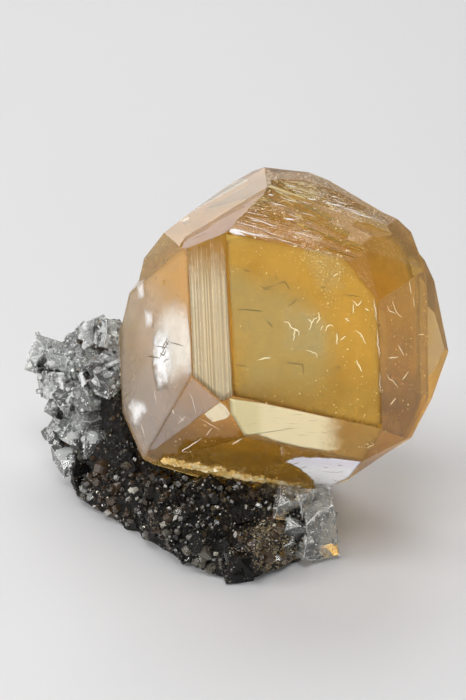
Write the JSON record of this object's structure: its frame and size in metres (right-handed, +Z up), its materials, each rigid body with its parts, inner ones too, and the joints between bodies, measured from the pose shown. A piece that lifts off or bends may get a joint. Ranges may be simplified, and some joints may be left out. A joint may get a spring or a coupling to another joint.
{
  "type": "calcite crystal specimen",
  "caption": "Golden twinned calcite crystal with flat faces and a chipped top, standing on a dark crystal-lined matrix with clear blocky crystals.",
  "frame": {"origin": "on the flat underside of the matrix, 7.6 mm left of the golden crystal's middle", "axes": "+Z up, -Y towards the side of the crystal that the picture shows, +X to the viewer's right"},
  "size_m": [0.0673, 0.0506, 0.0516],
  "materials": {
    "golden_calcite": "clear honey-coloured crystal with smooth faces, a finely striped strip and a chipped top",
    "dark_matrix": "very dark brown rock with small glittering crystals",
    "clear_crystals": "clear to greyish-white crystal with smooth faces"
  },
  "bodies": {
    "root": {"golden_calcite": "golden_calcite", "dark_matrix": "dark_matrix", "clear_crystals_left": "clear_crystals", "clear_crystals_right": "clear_crystals"}
  },
  "joints": []
}
